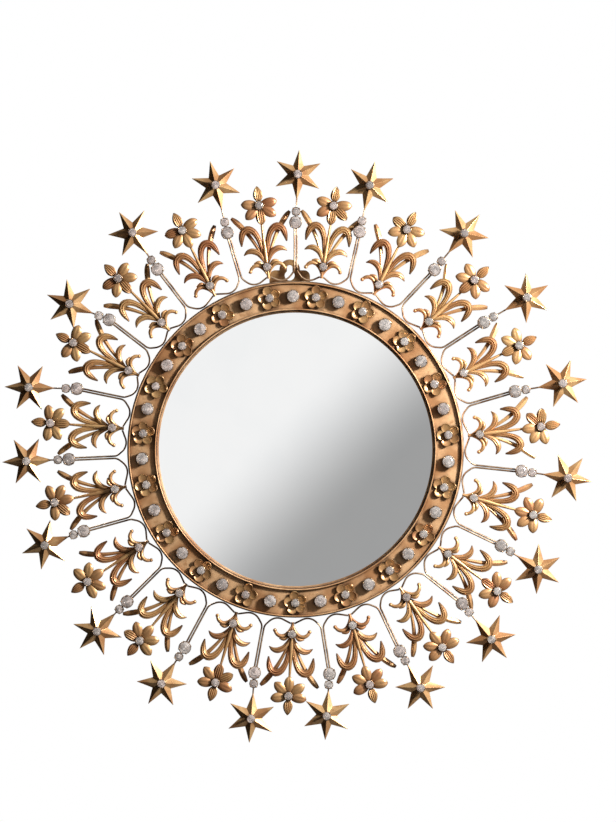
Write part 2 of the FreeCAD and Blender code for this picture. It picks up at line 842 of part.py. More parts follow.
# ---------------------------------------------------------------- the whole mirror
def stones_and_settings():
    stones, settings, made = [], [], {}
    for size, stud_length, foot, turn in stone_places():
        if (size, stud_length) not in made:
            made[size, stud_length] = stone(size), setting(size, stud_length)
        cut_stone, cup = made[size, stud_length]
        stones.append(moved(turned(cut_stone, turn), foot))
        settings.append(moved(turned(cup, turn), foot))
    return stones, settings


def all_pieces():
    """Node name to its piece, or its group of like pieces, in bench coordinates."""
    rays = range(ray_count)
    nodes = {
        "frame_ring": [frame_ring()],
        "ring_wall": [ring_wall()],
        "mirror_glass": [mirror_glass()],
        "packing_ring": [packing_ring()],
        "backing_board": [backing_board()],
        "support_hoop": [support_hoop()],
        "hanger_plate": [hanger_plate()],
        "hanger_rivets": [hanger_rivet(angle) for angle in rivet_angles()],
        "fixing_lugs": [turned(fixing_lug(), angle) for angle in button_angles()],
        "button_screws": [turned(button_screw(), angle) for angle in button_angles()],
        "ray_wires": [ray_wire_piece(i) for i in rays],
        "star_tangs": [star_tang(i) for i in rays],
    }
    button, one_star, one_spray = turn_button(), star(), spray()
    for i, angle in enumerate(button_angles()):
        nodes[f"turn_button_{i + 1}"] = [turned(button, angle)]
    for i in rays:
        nodes[f"star_{i + 1:02d}"] = [on_ray(one_star, i)]
        nodes[f"leaf_spray_{i + 1:02d}"] = [on_spray(one_spray, i)]
    for name, shape in (("foot_sprigs", sprig()), ("spray_flowers", flower()), ("bud_leaves", bud_leaf())):
        nodes[name] = [on_spray(shape, i) for i in rays]
    one_flower, on_face = ring_flower(), UP * (face_height + touch)
    nodes["ring_flowers"] = [
        moved(turned(one_flower, i * ring_flower_turn), place + on_face)
        for i, place in enumerate(ornament_places(spray_angles()))
    ]
    nodes["cut_stones"], nodes["claw_settings"] = stones_and_settings()
    return nodes


def main():
    os.makedirs(PARTS_FOLDER, exist_ok=True)
    for name, solids in all_pieces().items():
        standing = [stand_up(solid) for solid in solids]
        shape = standing[0] if len(standing) == 1 else Part.makeCompound(standing)
        shape.exportStep(os.path.join(PARTS_FOLDER, name + ".step"))


main()
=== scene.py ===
import math
import random

import bmesh
import bpy
from mathutils import Matrix, Vector


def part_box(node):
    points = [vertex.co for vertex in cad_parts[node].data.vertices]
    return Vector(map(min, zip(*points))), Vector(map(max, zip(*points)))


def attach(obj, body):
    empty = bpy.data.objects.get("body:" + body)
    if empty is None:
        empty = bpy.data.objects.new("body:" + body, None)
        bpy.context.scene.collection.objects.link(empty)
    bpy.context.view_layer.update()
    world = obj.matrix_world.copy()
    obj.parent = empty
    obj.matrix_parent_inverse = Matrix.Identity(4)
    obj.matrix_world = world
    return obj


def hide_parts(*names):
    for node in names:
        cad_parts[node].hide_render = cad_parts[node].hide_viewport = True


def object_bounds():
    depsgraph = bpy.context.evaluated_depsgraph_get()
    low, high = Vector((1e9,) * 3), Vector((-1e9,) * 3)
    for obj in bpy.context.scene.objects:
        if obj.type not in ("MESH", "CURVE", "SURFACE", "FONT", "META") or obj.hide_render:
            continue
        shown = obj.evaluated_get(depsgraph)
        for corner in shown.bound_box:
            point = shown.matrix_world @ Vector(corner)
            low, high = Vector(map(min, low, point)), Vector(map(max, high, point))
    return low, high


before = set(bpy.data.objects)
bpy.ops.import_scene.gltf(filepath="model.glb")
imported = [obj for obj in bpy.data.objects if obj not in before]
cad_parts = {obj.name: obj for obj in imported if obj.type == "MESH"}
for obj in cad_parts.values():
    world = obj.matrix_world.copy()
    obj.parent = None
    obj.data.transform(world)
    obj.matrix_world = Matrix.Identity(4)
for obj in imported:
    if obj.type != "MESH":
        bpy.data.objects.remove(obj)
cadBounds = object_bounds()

# Convex mirror in a gilt sunburst frame. New pieces are modelled in millimetres, lying face up
# with the top of the mirror towards +Y, and toWall then hangs them on the wall in metres.
mm = 0.001
fullTurn = 360.0
weld = 0.01  # points nearer than this count as one
toWall = Matrix.Rotation(math.radians(90), 4, "X") @ Matrix.Scale(mm, 4)
hand = random.Random(1911)  # small unevenness of handwork, the same each run

mirror = {
    "ringRadius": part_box("frame_ring")[1].x / mm,
    "lipTop": -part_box("frame_ring")[0].y / mm,
    "lipHeight": 3.4,
    "sightRadius": 139.5,
    "sheet": 1.2,
    "rayPlane": 14.0,  # height of the wires' middle above the wall
    "wire": 0.9,  # radius of the rays' wire
    "solder": 0.15,  # room for a soldered joint
    "touch": 0.1,  # room where one piece seats on another
    "sprayFoot": 8.0,
    "legsReach": 60.5,
    "ornamentTwist": -0.9,
}
faceHeight = mirror["lipTop"] - mirror["lipHeight"]
soldered = mirror["rayPlane"] + mirror["wire"] + mirror["solder"]

# each ray: its angle round the ring, lean of its legs, further lean of its star, and the star's
# reach from the ring
raysByHand = (
    (0.0, 0.0, 0.5, 108.5),
    (17.2, -0.8, -0.7, 107.5),
    (36.5, 1.2, 0.3, 107.5),
    (55.8, 0.2, 0.7, 110.0),
    (75.5, -0.3, 0.9, 108.5),
    (95.4, 0.1, 0.5, 107.0),
    (115.0, 0.1, 1.2, 104.0),
    (133.7, -0.9, 1.3, 106.0),
    (152.3, 0.4, -0.4, 102.5),
    (171.5, -0.1, 1.9, 101.5),
    (190.4, 0.0, -1.0, 106.0),
    (209.4, -0.2, 0.6, 103.0),
    (228.5, -0.6, -0.4, 102.5),
    (247.7, 1.2, 0.2, 101.5),
    (267.5, 0.0, 0.0, 102.5),
    (286.3, -0.8, -2.4, 107.0),
    (304.2, 0.6, -2.0, 102.0),
    (322.5, 0.0, 0.6, 104.5),
    (342.2, 0.3, 0.7, 109.5),
)
sprayLeans = (  # lean of each spray about its foot
    1.0, 0.0, 1.4, -2.0, -2.6, 0.7, 2.4, 1.5, 2.0, 2.4, -3.2, 0.7, -1.8, 0.0, -2.6, 1.4, 2.0, 1.0, 1.4,
)
rayCount = len(raysByHand)
rayAngles = [ray[0] for ray in raysByHand]
sprayAngles = [(here + there) / 2 for here, there in zip(rayAngles, rayAngles[1:] + [fullTurn])]


# places round the mirror
def polar(radius, clockwise, height=0.0):
    turn = math.radians(clockwise)
    return Vector((radius * math.sin(turn), radius * math.cos(turn), height))


def turned(clockwise):
    return Matrix.Rotation(-math.radians(clockwise), 4, "Z")


def shifted(x, y, z):
    return Matrix.Translation((x, y, z))


def onSpray(index):
    foot = shifted(0, mirror["ringRadius"] + mirror["sprayFoot"], 0)
    return turned(sprayAngles[index]) @ foot @ turned(sprayLeans[index])


def legsEnd(index):
    angle, lean, _, _ = raysByHand[index]
    return polar(mirror["ringRadius"] + mirror["legsReach"], angle + lean, mirror["rayPlane"])


def starMiddle(index):
    angle, lean, starLean, reach = raysByHand[index]
    return polar(mirror["ringRadius"] + reach, angle + lean + starLean, mirror["rayPlane"])


def tangTurn(index):
    outward = starMiddle(index) - legsEnd(index)
    return math.degrees(math.atan2(outward.x, outward.y))


def ornamentPlace(angle):
    middle = (mirror["sightRadius"] + mirror["ringRadius"]) / 2
    return polar(middle, angle + mirror["ornamentTwist"], faceHeight + mirror["touch"])


# materials
def addNode(tree, kind, sockets=None, **settings):
    node = tree.nodes.new("ShaderNode" + kind)
    for name, value in settings.items():
        setattr(node, name, value)
    for name, value in (sockets or {}).items():
        if isinstance(value, bpy.types.NodeSocket):
            tree.links.new(value, node.inputs[name])
        else:
            node.inputs[name].default_value = value
    return node


def startMaterial(name, **shaderValues):
    material = bpy.data.materials.new(name)
    material.use_nodes = True
    tree = material.node_tree
    shader = tree.nodes["Principled BSDF"]
    for socket, value in shaderValues.items():
        shader.inputs[socket.replace("_", " ")].default_value = value
    return material, tree, shader


def objectPlace(tree):
    return addNode(tree, "TexCoord").outputs["Object"]


def mixColours(tree, factor, first, second):
    return addNode(tree, "Mix", {0: factor, 6: first, 7: second}, data_type="RGBA").outputs[2]


def mixLevels(tree, factor, first, second):
    return addNode(tree, "Mix", {0: factor, 2: first, 3: second}).outputs[0]


def combine(tree, operation, first, second):
    return addNode(tree, "Math", {0: first, 1: second}, operation=operation).outputs[0]


def remap(tree, value, edges, levels=(0.0, 1.0)):
    sockets = {0: value, 1: edges[0], 2: edges[1], 3: levels[0], 4: levels[1]}
    return addNode(tree, "MapRange", sockets, interpolation_type="SMOOTHSTEP").outputs[0]


def noise(tree, place, scale, detail=3.0):
    return addNode(tree, "TexNoise", {"Vector": place, "Scale": scale, "Detail": detail}).outputs[0]


def pushRelief(tree, shader, height, strength, distance):
    sockets = {"Height": height, "Strength": strength, "Distance": distance}
    tree.links.new(addNode(tree, "Bump", sockets).outputs[0], shader.inputs["Normal"])


# gilding: linear colours, and tint is how much a piece's own tint counts beside the clouds
# patina is the near-black brown that painted shade darkens the gilding towards, in hollows, grooves and round
# edges; it stands for shade as well as real patina
giltLooks = {
    "ring": {
        "colour": (0.76, 0.46, 0.235, 1), "shade": (0.44, 0.21, 0.085, 1), "patinaAndShade": (0.035, 0.009, 0.002, 1),
        "cloud": 34.0, "grain": 900.0, "rough": (0.44, 0.56), "relief": 0.30,
        "recess": 0.010, "tint": 0.0, "metal": 0.5,
    },
    "wire": {
        "colour": (0.52, 0.37, 0.24, 1), "shade": (0.17, 0.09, 0.045, 1), "patinaAndShade": (0.03, 0.012, 0.004, 1),
        "cloud": 60.0, "grain": 1500.0, "rough": (0.36, 0.50), "relief": 0.10,
        "recess": 0.003, "tint": 0.0, "metal": 0.85,
    },
    "leaf": {
        "colour": (0.66, 0.40, 0.17, 1), "shade": (0.42, 0.165, 0.07, 1), "patinaAndShade": (0.035, 0.009, 0.002, 1),
        "cloud": 70.0, "grain": 1300.0, "rough": (0.28, 0.44), "relief": 0.22,
        "recess": 0.006, "tint": 0.75, "metal": 0.5,
    },
    "star": {
        "colour": (0.64, 0.39, 0.175, 1), "shade": (0.42, 0.20, 0.08, 1), "patinaAndShade": (0.035, 0.009, 0.002, 1),
        "cloud": 45.0, "grain": 1400.0, "rough": (0.26, 0.40), "relief": 0.12,
        "recess": 0.006, "tint": 0.0, "metal": 0.55,
    },
    "claw": {
        "colour": (0.52, 0.37, 0.23, 1), "shade": (0.20, 0.11, 0.055, 1), "patinaAndShade": (0.03, 0.012, 0.004, 1),
        "cloud": 90.0, "grain": 1500.0, "rough": (0.24, 0.38), "relief": 0.1,
        "recess": 0.003, "tint": 0.0, "metal": 0.9,
    },
    # brass is darker than the gilding: its own tone, darkened further as painted shade for the hanger sitting
    # in shade behind the ring
    "brass": {
        "colour": (0.44, 0.26, 0.11, 1), "shade": (0.20, 0.095, 0.04, 1), "patinaAndShade": (0.03, 0.012, 0.004, 1),
        "cloud": 55.0, "grain": 1200.0, "rough": (0.34, 0.55), "relief": 0.25,
        "recess": 0.006, "tint": 0.0, "metal": 0.7,
    },
}
giltWearAndShade = {  # the same on all the gilding
    "cloudEdges": (0.36, 0.64),
    "grainEdges": (0.3, 0.7),
    "grainDetail": 5.0,
    "grainDepth": 0.0002,
    "fleckFiner": 6.0,  # dull spots, so many times finer than the clouds
    "fleckEdges": (0.5, 0.72),
    "fleckShare": 0.75,
    # painted shade: ambient occlusion darkens the gilding in its hollows, with the patina it holds there
    "hollowShadeEdges": (0.25, 0.85),
}


def giltMaterial(name):
    look = giltLooks[name]
    material, tree, shader = startMaterial("gilt-" + name, Metallic=look["metal"])
    place = objectPlace(tree)
    cloud = remap(tree, noise(tree, place, look["cloud"]), giltWearAndShade["cloudEdges"])
    if look["tint"]:
        leafTint = addNode(tree, "Attribute", attribute_name="tint").outputs["Fac"]
        cloud = mixLevels(tree, look["tint"], cloud, leafTint)
    fleck = noise(tree, place, look["cloud"] * giltWearAndShade["fleckFiner"])
    fleck = remap(tree, fleck, giltWearAndShade["fleckEdges"], (0.0, giltWearAndShade["fleckShare"]))
    tone = mixColours(tree, combine(tree, "MAXIMUM", cloud, fleck), look["colour"], look["shade"])
    # painted shade: hollows found by ambient occlusion and the painted shade layer darken the tone towards
    # the patina colour
    hollow = addNode(tree, "AmbientOcclusion", {"Distance": look["recess"]}, samples=8).outputs["AO"]
    hollowShade = remap(tree, hollow, giltWearAndShade["hollowShadeEdges"], (1.0, 0.0))
    paintedShade = addNode(tree, "Attribute", attribute_name="paintedShade").outputs["Fac"]
    tone = mixColours(tree, combine(tree, "MAXIMUM", hollowShade, paintedShade), tone, look["patinaAndShade"])
    tree.links.new(tone, shader.inputs["Base Color"])
    grain = noise(tree, place, look["grain"], giltWearAndShade["grainDetail"])
    tree.links.new(remap(tree, grain, giltWearAndShade["grainEdges"], look["rough"]), shader.inputs["Roughness"])
    pushRelief(tree, shader, grain, look["relief"], giltWearAndShade["grainDepth"])
    return material


silverLook = {
    "clear": (0.955, 0.96, 0.96, 1), "hazy": (0.925, 0.935, 0.94, 1), "haze": 14.0, "hazeEdges": (0.35, 0.75),
}


def silveredGlass():
    material, tree, shader = startMaterial("silvered-glass", Metallic=1.0, Roughness=0.0)
    haze = remap(tree, noise(tree, objectPlace(tree), silverLook["haze"]), silverLook["hazeEdges"])
    tone = mixColours(tree, haze, silverLook["clear"], silverLook["hazy"])
    tree.links.new(tone, shader.inputs["Base Color"])
    return material


stoneLook = {
    "clear": (0.98, 0.97, 0.95, 1), "blush": (0.98, 0.90, 0.88, 1),
    "blushes": 12.0, "blushEdges": (0.4, 0.62),
    "foil": (0.93, 0.87, 0.83, 1), "spot": (0.50, 0.42, 0.37, 1),
    "spots": 180.0, "spotEdges": (0.4, 0.6), "foilRough": (0.08, 0.2),
}


def stoneMaterials():
    crown, tree, shader = startMaterial("cut-glass", Transmission_Weight=0.88, IOR=1.55, Roughness=0.0)
    blush = remap(tree, noise(tree, objectPlace(tree), stoneLook["blushes"]), stoneLook["blushEdges"])
    tone = mixColours(tree, blush, stoneLook["clear"], stoneLook["blush"])
    tree.links.new(tone, shader.inputs["Base Color"])
    foil, tree, shader = startMaterial("stone-foil", Metallic=1.0)
    spots = remap(tree, noise(tree, objectPlace(tree), stoneLook["spots"], 1.0), stoneLook["spotEdges"])
    tone = mixColours(tree, spots, stoneLook["foil"], stoneLook["spot"])
    tree.links.new(tone, shader.inputs["Base Color"])
    tree.links.new(remap(tree, spots, (0.0, 1.0), stoneLook["foilRough"]), shader.inputs["Roughness"])
    return crown, foil


steelLook = {
    "bright": (0.55, 0.54, 0.52, 1), "stain": (0.20, 0.17, 0.14, 1),
    "stains": 420.0, "stainEdges": (0.45, 0.7), "rough": (0.3, 0.55),
}


def steelMaterial():
    material, tree, shader = startMaterial("screw-steel", Metallic=1.0)
    stains = remap(tree, noise(tree, objectPlace(tree), steelLook["stains"]), steelLook["stainEdges"])
    tone = mixColours(tree, stains, steelLook["bright"], steelLook["stain"])
    tree.links.new(tone, shader.inputs["Base Color"])
    tree.links.new(remap(tree, stains, (0.0, 1.0), steelLook["rough"]), shader.inputs["Roughness"])
    return material


boardLook = {
    "pale": (0.17, 0.088, 0.042, 1), "dark": (0.13, 0.065, 0.03, 1), "clouds": 30.0, "cloudEdges": (0.3, 0.7),
    "fibre": (0.33, 0.19, 0.10, 1), "fibres": 900.0, "fibreEdges": (0.0, 0.7), "fibreShare": 0.5,
    "rough": (0.6, 0.8), "relief": 0.4, "depth": 0.0003,
}


def boardMaterial():
    material, tree, shader = startMaterial("pressed-board")
    place = objectPlace(tree)
    fibre = addNode(tree, "TexVoronoi", {"Vector": place, "Scale": boardLook["fibres"]}).outputs["Distance"]
    cloud = noise(tree, place, boardLook["clouds"], 6.0)
    tone = mixColours(tree, remap(tree, cloud, boardLook["cloudEdges"]), boardLook["pale"], boardLook["dark"])
    share = remap(tree, fibre, boardLook["fibreEdges"], (0.0, boardLook["fibreShare"]))
    tree.links.new(mixColours(tree, share, tone, boardLook["fibre"]), shader.inputs["Base Color"])
    rough = remap(tree, cloud, boardLook["cloudEdges"], boardLook["rough"])
    tree.links.new(rough, shader.inputs["Roughness"])
    pushRelief(tree, shader, fibre, boardLook["relief"], boardLook["depth"])
    return material


feltLook = {
    "dark": (0.02, 0.018, 0.016, 1), "pale": (0.07, 0.06, 0.055, 1),
    "fluff": 1400.0, "fluffEdges": (0.3, 0.7), "rough": (0.85, 1.0), "relief": 0.5, "depth": 0.0003,
}


def packingMaterial():
    material, tree, shader = startMaterial("felt-packing")
    fluff = noise(tree, objectPlace(tree), feltLook["fluff"], 6.0)
    tone = mixColours(tree, fluff, feltLook["dark"], feltLook["pale"])
    tree.links.new(tone, shader.inputs["Base Color"])
    tree.links.new(remap(tree, fluff, feltLook["fluffEdges"], feltLook["rough"]), shader.inputs["Roughness"])
    pushRelief(tree, shader, fluff, feltLook["relief"], feltLook["depth"])
    return material


gilt = {name: giltMaterial(name) for name in giltLooks}
crownGlass, foil = stoneMaterials()
print("materials made")


# finishing a piece
def finishPiece(name, bm, materials, nodes, sharpAngle=40.0, mend=True):
    if mend:
        bmesh.ops.remove_doubles(bm, verts=bm.verts, dist=weld)
        bmesh.ops.recalc_face_normals(bm, faces=bm.faces)
    bmesh.ops.transform(bm, matrix=toWall, verts=bm.verts)
    mesh = bpy.data.meshes.new(name)
    bm.to_mesh(mesh)
    bm.free()
    for face in mesh.polygons:
        face.use_smooth = True
    mesh.set_sharp_from_angle(angle=math.radians(sharpAngle))
    for material in materials:
        mesh.materials.append(material)
    piece = bpy.data.objects.new(name, mesh)
    bpy.context.scene.collection.objects.link(piece)
    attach(piece, "frame")
    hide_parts(*nodes)
    return piece


def vertsIn(geom):
    return [item for item in geom if isinstance(item, bmesh.types.BMVert)]


def addCopies(bm, part, places):
    shape = bpy.data.meshes.new("shape")
    part.to_mesh(shape)
    part.free()
    for place in places:
        known = set(bm.verts)
        bm.from_mesh(shape)
        bmesh.ops.transform(bm, matrix=place, verts=[v for v in bm.verts if v not in known])
    bpy.data.meshes.remove(shape)


def spunProfile(bm, profile, steps):
    corners = [bm.verts.new((radius, 0, height)) for radius, height in profile]
    edges = [bm.edges.new(pair) for pair in zip(corners, corners[1:])]
    bmesh.ops.spin(
        bm, geom=corners + edges, cent=(0, 0, 0), axis=(0, 0, 1), dvec=(0, 0, 0),
        angle=math.radians(fullTurn), steps=steps, use_merge=True, use_normal_flip=False, use_duplicate=False,
    )


# face of the ring: sheet brass with a rim along both edges
ringShape = {"lipRound": 0.5, "steps": 288, "roundSteps": 4}


def ringPiece():
    outer, inner = mirror["ringRadius"], mirror["sightRadius"]
    top, face, sheet = mirror["lipTop"], faceHeight, mirror["sheet"]
    profile = [
        (outer, face - sheet), (outer, top), (outer - sheet, top), (outer - sheet, face),
        (inner + sheet, face), (inner + sheet, top), (inner, top), (inner, face - sheet),
    ]
    bm = bmesh.new()
    spunProfile(bm, profile + profile[:1], ringShape["steps"])
    bmesh.ops.remove_doubles(bm, verts=bm.verts, dist=weld)
    rims = []
    for e in bm.edges:
        first, second = (v.co for v in e.verts)
        if min(first.z, second.z) > top - weld and abs(first.xy.length - second.xy.length) < weld:
            rims.append(e)
    bmesh.ops.bevel(
        bm, geom=rims, offset=ringShape["lipRound"], offset_type="OFFSET", segments=ringShape["roundSteps"],
        profile=0.5, affect="EDGES", clamp_overlap=True, material=-1,
    )
    return finishPiece("ring", bm, [gilt["ring"]], ["frame_ring"])


# domed glass
glassShape = {
    "lap": 6.5, "sheet": 3.0, "domeRadius": 520.0, "apex": -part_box("mirror_glass")[0].y / mm, "steps": 192,
    "rings": 48,
}


def glassPiece():
    dome, edge = glassShape["domeRadius"], mirror["sightRadius"] + glassShape["lap"]
    widest = math.asin(edge / dome)
    front = []
    for i in range(glassShape["rings"] + 1):
        tilt = widest * i / glassShape["rings"]
        front.append((dome * math.sin(tilt), glassShape["apex"] - dome * (1 - math.cos(tilt))))
    back = [(radius, height - glassShape["sheet"]) for radius, height in reversed(front)]
    bm = bmesh.new()
    spunProfile(bm, front + back, glassShape["steps"])
    return finishPiece("domedGlass", bm, [silveredGlass()], ["mirror_glass"])


# hoop round the ring
hoopShape = {"wire": 1.0, "steps": 288, "sides": 14}


def hoopPiece():
    middle = mirror["ringRadius"] + mirror["solder"] + hoopShape["wire"]
    section = []
    for i in range(hoopShape["sides"] + 1):
        turn = math.radians(fullTurn) * i / hoopShape["sides"]
        across, up = hoopShape["wire"] * math.cos(turn), hoopShape["wire"] * math.sin(turn)
        section.append((middle + across, mirror["rayPlane"] + up))
    bm = bmesh.new()
    spunProfile(bm, section, hoopShape["steps"])
    return finishPiece("hoop", bm, [gilt["wire"]], ["support_hoop"])


# leaves: a flat grid is bent along its stations, each (across, along, height of its back, width)
# the darkening levels here are painted shade: in a leaf's grooves, towards its tip and along its edges
leafShape = {
    "sheet": 0.9, "across": 8, "along": 22, "paintedShade": 0.6, "tipShade": 0.75, "tipFrom": 0.8, "edgeShade": 0.5,
    "edgeFrom": 0.75,
}


def alongStations(stations, share):
    reach = share * (len(stations) - 1)
    i = min(int(reach), len(stations) - 2)
    t = reach - i
    nearby = (min(max(k, 0), len(stations) - 1) for k in (i - 1, i, i + 1, i + 2))
    before, here, there, after = (stations[k] for k in nearby)
    return [
        0.5 * (2 * b + (c - a) * t + (2 * a - 5 * b + 4 * c - d) * t**2 + (3 * b - a - 3 * c + d) * t**3)
        for a, b, c, d in zip(before, here, there, after)
    ]


def bentSheet(bm, stations, relief, place, tint, sheet=None, across=None, along=None):
    across, along = across or leafShape["across"], along or leafShape["along"]
    sheet = sheet or leafShape["sheet"]
    tints, shadeLayer = bm.verts.layers.float["tint"], bm.verts.layers.float["paintedShade"]
    made = bmesh.ops.create_grid(bm, x_segments=across, y_segments=along, size=1)["verts"]
    step = 0.5 / along
    for v in made:
        s, t = v.co.x, (v.co.y + 1) / 2  # s runs across the leaf from -1 to 1, t along it from 0 to 1
        x, y, height, width = alongStations(stations, t)
        ahead, behind = alongStations(stations, min(t + step, 1)), alongStations(stations, max(t - step, 0))
        run = Vector((ahead[0] - behind[0], ahead[1] - behind[1], 0)).normalized()
        side = Vector((run.y, -run.x, 0))
        # each point gets its height and its painted shade, which darkens the gilding there
        rise, paintedShade = relief(s, t, width)
        v.co = Vector((x, y, height + rise)) + side * (s * width / 2)
        v[shadeLayer] = paintedShade
    faces = list(dict.fromkeys(face for v in made for face in v.link_faces))
    bmesh.ops.recalc_face_normals(bm, faces=faces)
    if sum(face.normal.z for face in faces) < 0:
        bmesh.ops.reverse_faces(bm, faces=faces)
    thick = bmesh.ops.solidify(bm, geom=faces, thickness=sheet)["geom"]
    whole = list(dict.fromkeys([*made, *vertsIn(thick)]))
    for v in whole:
        v[tints] = tint
    bmesh.ops.transform(bm, matrix=place, verts=whole)


def mirrored(stations):
    return [(-station[0], *station[1:]) for station in stations]


def crease(value, width):
    return math.exp(-((value / width) ** 2))


# reliefs: shares of the leaf's width that its front rises and its grooves sink. Each function gives
# the height of the front and the painted shade in its hollows, at its tip and along its edges.
reliefs = {
    "archedLeaf": {"arch": 0.2, "groove": 0.08},
    "longBlade": {
        "arch": 0.22, "rim": 0.02, "rimAt": 0.85, "rimWidth": 0.15, "footShade": 0.4, "footReach": 0.4,
    },
    "sideLeaf": {"arch": 0.3, "groove": 0.11, "grooveAt": 0.25, "grooveWidth": 0.16},
    "bar": {"arch": 0.46},
    "petal": {
        "arch": 0.2, "groove": 0.06, "grooveWidth": 0.2, "rim": 0.04, "rimAt": 0.9, "rimWidth": 0.12,
        "grooveShade": 0.4, "footShade": 0.7, "footReach": 0.3,
    },
    "bud": {"arch": 0.18, "groove": 0.045, "flutes": 5},
}


# painted shade darkening a leaf towards its tip and along its edges
def borderShade(s, t):
    tipFrom, edgeFrom = leafShape["tipFrom"], leafShape["edgeFrom"]
    atTip = leafShape["tipShade"] * max(t - tipFrom, 0.0) / (1 - tipFrom)
    return max(atTip, leafShape["edgeShade"] * max(abs(s) - edgeFrom, 0.0) / (1 - edgeFrom))


def channelled(s, t, width):
    shape = reliefs["archedLeaf"]
    wave = math.cos(3 * math.pi * s)
    rise = leafShape["sheet"] + width * (shape["arch"] * (1 - s * s) - shape["groove"] * wave * (1 - s**4))
    return rise, leafShape["paintedShade"] * max(wave, 0.0) ** 2 * (1 - s**8) + borderShade(s, t)


def bladed(s, t, width):
    shape = reliefs["longBlade"]
    rim = crease(abs(s) - shape["rimAt"], shape["rimWidth"])
    rise = leafShape["sheet"] + width * (shape["arch"] * (1 - abs(s)) + shape["rim"] * rim)
    # painted shade at the blade's foot, tip and edges
    return rise, borderShade(s, t) + shape["footShade"] * max(shape["footReach"] - t, 0)


def horned(s, t, width):
    shape = reliefs["sideLeaf"]
    groove = crease(s - shape["grooveAt"], shape["grooveWidth"])
    rise = leafShape["sheet"] + width * (shape["arch"] * (1 - s * s) - shape["groove"] * groove)
    return rise, leafShape["paintedShade"] * groove + borderShade(s, t)


def rounded(s, t, width):
    return leafShape["sheet"] + width * reliefs["bar"]["arch"] * math.sqrt(max(1 - s * s, 0.0)), 0.0


def lobed(s, t, width):
    shape = reliefs["petal"]
    groove = crease(s, shape["grooveWidth"]) * min(2 * t, 1)
    rim = crease(abs(s) - shape["rimAt"], shape["rimWidth"])
    arch = shape["arch"] * (1 - s * s)
    rise = leafShape["sheet"] + width * (arch - shape["groove"] * groove + shape["rim"] * rim)
    # painted shade in the petal's middle groove and at its foot
    foot = shape["footShade"] * max(shape["footReach"] - t, 0) / shape["footReach"]
    return rise, shape["grooveShade"] * groove * (1 - t) + foot + borderShade(s, t)


def fluted(s, t, width):
    shape = reliefs["bud"]
    waves = math.cos(math.pi * shape["flutes"] * s)
    rise = leafShape["sheet"] + width * (shape["arch"] * (1 - s * s) - shape["groove"] * waves * (1 - s**4))
    return rise, leafShape["paintedShade"] * max(waves, 0.0) ** 2 + borderShade(s, t)


sprayShape = {
    "sideLeaf": (
        (0.9, 12.0, 1.3, 1.6), (3.2, 18.5, 1.3, 3.8), (7.0, 24.4, 1.2, 5.4),
        (12.5, 27.5, 1.2, 6.0), (17.6, 27.1, 0.8, 4.4), (21.8, 24.2, 0.2, 0.8),
    ),
    "longBlade": (
        (0.8, 12.0, 0.1, 1.6), (4.4, 23.0, 0.0, 2.8), (9.2, 34.0, -0.4, 3.4), (15.0, 44.5, -1.0, 4.2),
        (21.0, 53.0, -2.3, 5.6), (26.4, 59.4, -3.4, 5.4), (30.2, 63.2, -4.1, 3.0),
    ),
    "archedLeaf": (
        (1.2, 17.0, 0.3, 1.6), (2.0, 24.5, 0.5, 3.6), (3.2, 32.0, 0.9, 4.8), (5.2, 40.0, 1.9, 5.6),
        (9.0, 46.8, 3.1, 6.8), (14.4, 49.8, 3.5, 7.4), (19.4, 47.4, 2.9, 6.8), (21.8, 41.2, 1.7, 5.4),
        (22.6, 33.6, 0.6, 1.4),
    ),
    "stem": (
        (0.0, -1.6, 0.7, 3.0), (0.0, 10.0, 0.9, 4.0), (0.0, 24.0, 0.9, 4.4),
        (0.0, 40.0, 0.8, 3.2), (0.0, 56.0, 0.7, 2.2), (0.0, 72.0, 0.7, 2.2),
    ),
    "tilt": 1.2,  # unevenness of each leaf about the spray's foot, in degrees
    "moods": (0.0, 0.7),  # range of a whole spray's tint, which its leaves' tints spread about
    "stemTint": 0.25,
    "tintSpread": 0.35,
}
# each kind of leaf, its relief and its steps across
sprayLeaves = (("longBlade", bladed, 8), ("archedLeaf", channelled, 14), ("sideLeaf", horned, 8))


def newLeafMesh():
    bm = bmesh.new()
    bm.verts.layers.float.new("tint")
    # layer of painted shade, darkening the gilding in grooves, at roots and along edges
    bm.verts.layers.float.new("paintedShade")
    return bm


def tintNear(mood, spread):
    return min(max(mood + hand.uniform(-spread, spread), 0.0), 1.0)


def sprayPiece(index):
    bm = newLeafMesh()
    base = onSpray(index) @ shifted(0, 0, soldered)
    mood = hand.uniform(*sprayShape["moods"])
    bentSheet(bm, sprayShape["stem"], rounded, base, sprayShape["stemTint"] * mood)
    for name, relief, across in sprayLeaves:
        for stations in (sprayShape[name], mirrored(sprayShape[name])):
            uneven = turned(hand.uniform(-1, 1) * sprayShape["tilt"])
            tint = tintNear(mood, sprayShape["tintSpread"])
            bentSheet(bm, stations, relief, base @ uneven, tint, across=across)
    label = f"{index + 1:02d}"
    return finishPiece("leafSpray" + label, bm, [gilt["leaf"]], ["leaf_spray_" + label])


# sprig of curls in front of each spray's foot
sprigShape = {
    "stemDepth": 2.6,
    "stem": ((0.0, -1.0, 0.0, 2.4), (0.0, 5.0, 0.0, 3.4), (0.0, 12.6, 0.0, 4.6)),
    "outerCurl": (
        (0.8, 2.0, 0.2, 1.6), (3.2, 7.5, 0.4, 3.0), (7.2, 11.7, 1.0, 3.8),
        (11.6, 12.6, 1.6, 4.0), (15.4, 10.6, 1.4, 3.6), (17.4, 7.2, 0.8, 3.0),
    ),
    "innerCurl": ((1.0, 7.6, 0.1, 1.0), (3.6, 12.2, 0.3, 2.6), (7.6, 15.4, 1.4, 3.8), (12.6, 14.8, 1.2, 1.4)),
    "ball": 2.0,
    "stoneAlong": 10.0,
    "stoneLift": 1.6,
    "tints": (0.0, 0.8),
}
sprigSeat = soldered + sprigShape["stemDepth"] + mirror["solder"]


